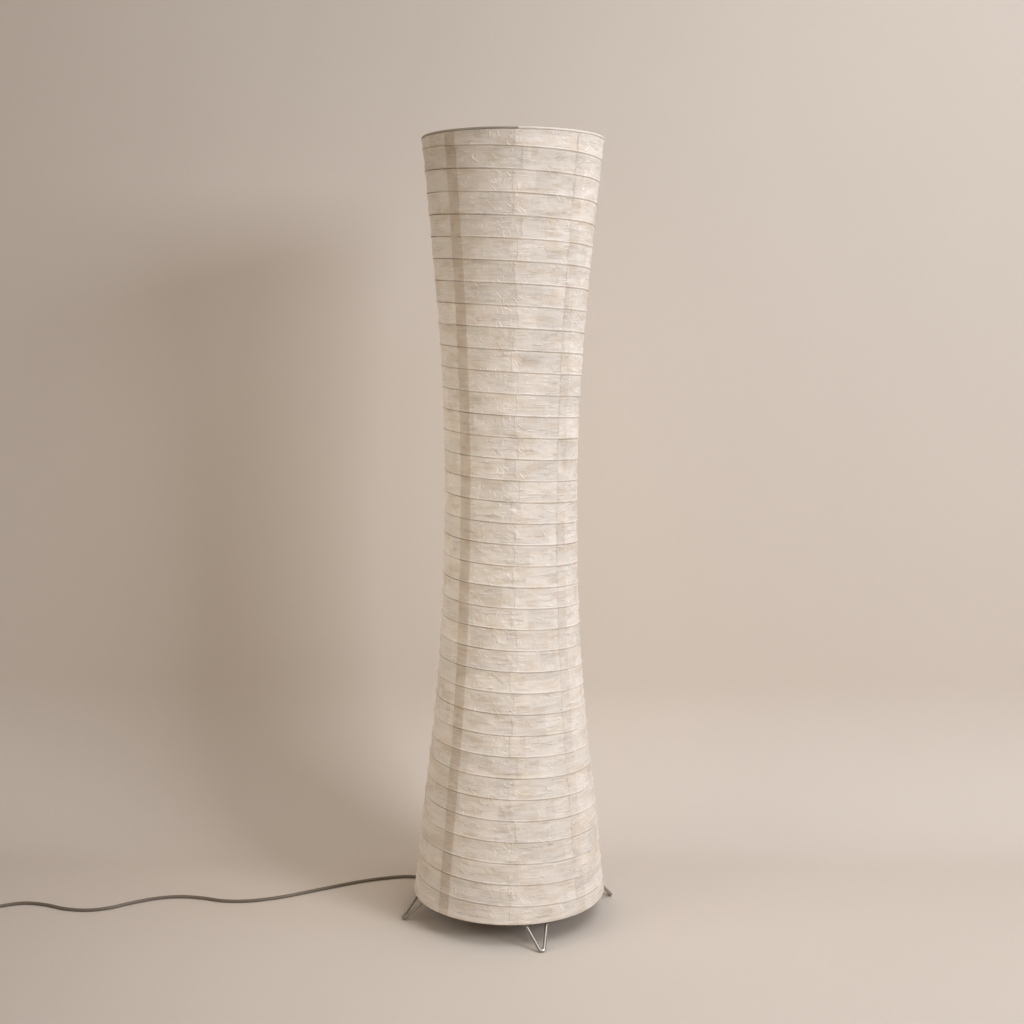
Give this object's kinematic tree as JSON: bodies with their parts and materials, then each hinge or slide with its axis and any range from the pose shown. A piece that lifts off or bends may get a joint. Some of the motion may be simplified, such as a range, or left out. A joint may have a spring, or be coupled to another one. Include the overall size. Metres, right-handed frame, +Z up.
{
  "type": "paper lantern floor lamp",
  "caption": "Tall waisted floor lamp: a creased paper shade on a spiral rib wire over a wire frame with V feet, lampholder and bulb inside, and a cord with foot switch and plug.",
  "frame": {"origin": "on the floor under the middle of the lamp, measured without the cord", "axes": "+Z up along the shade's axis; -Y towards the viewer of the picture; the cord leaves towards -X"},
  "size_m": [1.0832, 0.4398, 1.165],
  "materials": {
    "frame_steel": "zinc-plated drawn wire",
    "foot_steel": "nickel-plated wire",
    "hoop_wire": "drawn wire",
    "rib_wire": "thin wire wrapped in paper",
    "shade_paper": "creased handmade rice paper",
    "seam_paper": "glued paper tape",
    "hem_paper": "folded paper strip",
    "brass": "turned, slightly dull",
    "white_moulding": "thermoset moulding",
    "porcelain": "glazed",
    "frosted_glass": "frosted inside",
    "bulb_cap_metal": "pressed thin sheet",
    "black_glass": "fused black glass",
    "cord_sheath": "soft PVC sheath",
    "relief_rubber": "moulded",
    "plug_moulding": "soft moulded",
    "plug_pins": "nickel-plated",
    "coil_tie": "flat wire tie",
    "switch_moulding": "fine moulded grain",
    "switch_button": "satin moulding",
    "switch_inner": "sealed block",
    "screw_steel": "zinc-plated"
  },
  "bodies": {
    "frame": {"base_ring": "frame_steel", "foot_front": "foot_steel", "foot_right": "foot_steel", "foot_back": "foot_steel", "foot_left": "foot_steel", "spoke_front": "frame_steel", "spoke_right": "frame_steel", "spoke_back": "frame_steel", "spoke_left": "frame_steel", "holder_plate": "frame_steel", "socket_left": "frame_steel", "socket_right": "frame_steel", "upright_lower_left": "frame_steel", "upright_lower_right": "frame_steel", "upright_upper_left": "frame_steel", "upright_upper_right": "frame_steel", "sleeve_left": "frame_steel", "sleeve_right": "frame_steel", "top_cross": "frame_steel", "top_hoop": "hoop_wire", "gore_front": "shade_paper", "gore_right": "shade_paper", "gore_back": "shade_paper", "gore_left": "shade_paper", "tape_front_left": "seam_paper", "tape_front_right": "seam_paper", "tape_back_right": "seam_paper", "tape_back_left": "seam_paper", "rib_wire": "rib_wire", "top_hem": "hem_paper", "nipple": "brass", "nipple_nut": "brass", "holder_cap": "white_moulding", "holder_shell": "white_moulding", "holder_insert": "porcelain", "screw_shell": "brass", "centre_contact": "brass", "terminal_screws": "brass", "cord_relief": "relief_rubber", "cord_tail": "cord_sheath", "power_cord": "cord_sheath", "switch_lead": "cord_sheath", "cord_coil": "cord_sheath", "plug_lead": "cord_sheath", "coil_tie": "coil_tie", "switch_base": "switch_moulding", "switch_cover": "switch_moulding", "switch_mechanism": "switch_inner", "switch_screws": "screw_steel", "switch_reliefs": "relief_rubber", "plug_body": "plug_moulding", "plug_pins": "plug_pins"},
    "shade_bottom": {"bottom_hoop": "hoop_wire", "bottom_hem": "hem_paper"},
    "bulb": {"bulb_glass": "frosted_glass", "bulb_cap": "bulb_cap_metal", "bulb_insulator": "black_glass", "bulb_contact": "brass"},
    "clamp_ring": {"clamp_ring": "white_moulding"},
    "switch_button": {"switch_button": "switch_button"}
  },
  "joints": [
    {"name": "shade_raise", "type": "slide", "parent": "frame", "child": "shade_bottom", "axis": [0, 0, 1], "range_m": [0, 1], "deforming": ["gore_front", "gore_right", "gore_back", "gore_left", "tape_front_left", "tape_front_right", "tape_back_right", "tape_back_left", "rib_wire"]},
    {"name": "bulb_turn", "type": "hinge", "parent": "frame", "child": "bulb", "pos_m": [0, 0, 0.13], "axis": [0, 0, 1], "range_deg": [0, 1800]},
    {"name": "clamp_ring_turn", "type": "hinge", "parent": "frame", "child": "clamp_ring", "pos_m": [0, 0, 0.13], "axis": [0, 0, 1], "range_deg": [0, 1080]},
    {"name": "switch_press", "type": "slide", "parent": "frame", "child": "switch_button", "axis": [0, 0, -1], "range_m": [0, 0.003], "stiffness_N_per_m": 300, "springref_m": -0.002}
  ]
}
